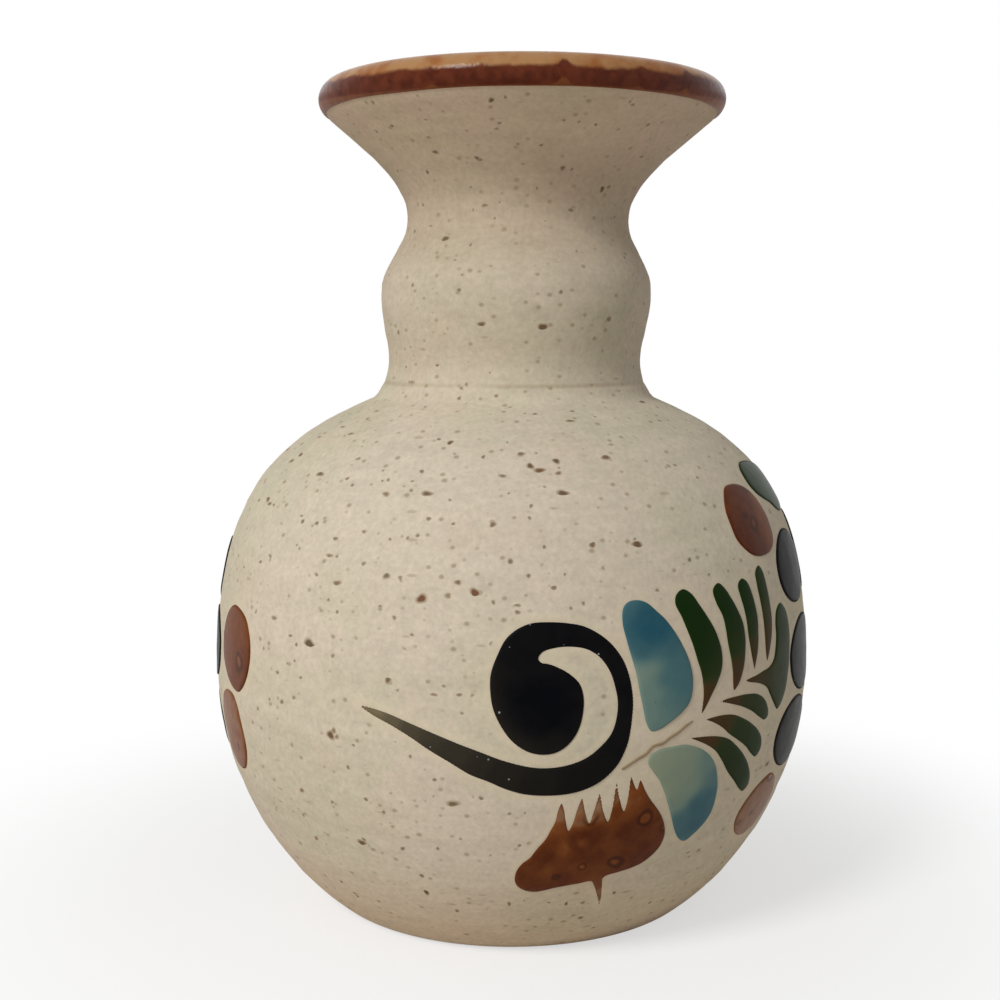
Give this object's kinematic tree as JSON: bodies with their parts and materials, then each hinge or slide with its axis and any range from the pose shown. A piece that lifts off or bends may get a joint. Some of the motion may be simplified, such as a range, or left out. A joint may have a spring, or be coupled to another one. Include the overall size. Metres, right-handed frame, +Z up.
{
  "type": "bud vase",
  "caption": "Round-bellied hand-thrown stoneware bud vase with a narrow ringed neck, flared mouth, brown glazed rim and raised glaze painting of scrolls, ferns and flowers.",
  "frame": {"origin": "on the ground plane at the centre of the foot ring", "axes": "+Z up along the axis of the pot, the pictured front faces -Y and +X is to its right"},
  "size_m": [0.097, 0.097, 0.1301],
  "materials": {
    "stoneware": "matte sandy cream stoneware with fine iron speckle and faint wheel marks",
    "rim_glaze": "glossy chestnut glaze, amber where it runs thin over the lip",
    "liner_glaze": "glossy brown liner glaze",
    "blue_black_glaze": "glossy blue-black raised glaze, thin and brown-grey at a stroke's tail",
    "sea_blue_glaze": "glossy turquoise raised glaze that fades to pale celadon",
    "green_glaze": "glossy dark green raised glaze, brown where it is thin",
    "rust_glaze": "glossy rust-brown raised glaze with amber patches",
    "stem_glaze": "thin brown-grey line glaze"
  },
  "bodies": {
    "root": {"vase_body": "stoneware", "rim_glaze": "rim_glaze", "liner_glaze": "liner_glaze", "front_scroll": "blue_black_glaze", "front_blue_leaf_upper": "sea_blue_glaze", "front_blue_leaf_lower": "sea_blue_glaze", "front_fern_stem": "stem_glaze", "front_fern_upper_1": "green_glaze", "front_fern_upper_2": "green_glaze", "front_fern_upper_3": "green_glaze", "front_fern_upper_4": "green_glaze", "front_fern_lower_1": "green_glaze", "front_fern_lower_2": "green_glaze", "front_fern_lower_3": "green_glaze", "front_fern_tip": "green_glaze", "front_seed_pod": "rust_glaze", "front_flower_centre": "rust_glaze", "front_petal_1": "blue_black_glaze", "front_petal_2": "blue_black_glaze", "front_petal_3": "blue_black_glaze", "front_petal_4": "blue_black_glaze", "front_petal_5": "blue_black_glaze", "front_petal_6": "blue_black_glaze", "front_petal_7": "blue_black_glaze", "front_petal_8": "blue_black_glaze", "front_berry_1": "rust_glaze", "front_berry_2": "rust_glaze", "front_berry_3": "rust_glaze", "front_berry_4": "rust_glaze", "front_side_leaf": "green_glaze", "back_scroll": "blue_black_glaze", "back_blue_leaf_upper": "sea_blue_glaze", "back_blue_leaf_lower": "sea_blue_glaze", "back_fern_stem": "stem_glaze", "back_fern_upper_1": "green_glaze", "back_fern_upper_2": "green_glaze", "back_fern_upper_3": "green_glaze", "back_fern_upper_4": "green_glaze", "back_fern_lower_1": "green_glaze", "back_fern_lower_2": "green_glaze", "back_fern_lower_3": "green_glaze", "back_fern_tip": "green_glaze", "back_seed_pod": "rust_glaze", "back_flower_centre": "rust_glaze", "back_petal_1": "blue_black_glaze", "back_petal_2": "blue_black_glaze", "back_petal_3": "blue_black_glaze", "back_petal_4": "blue_black_glaze", "back_petal_5": "blue_black_glaze", "back_petal_6": "blue_black_glaze", "back_petal_7": "blue_black_glaze", "back_petal_8": "blue_black_glaze", "back_berry_1": "rust_glaze", "back_berry_2": "rust_glaze", "back_berry_3": "rust_glaze", "back_berry_4": "rust_glaze", "back_side_leaf": "green_glaze"}
  },
  "joints": []
}
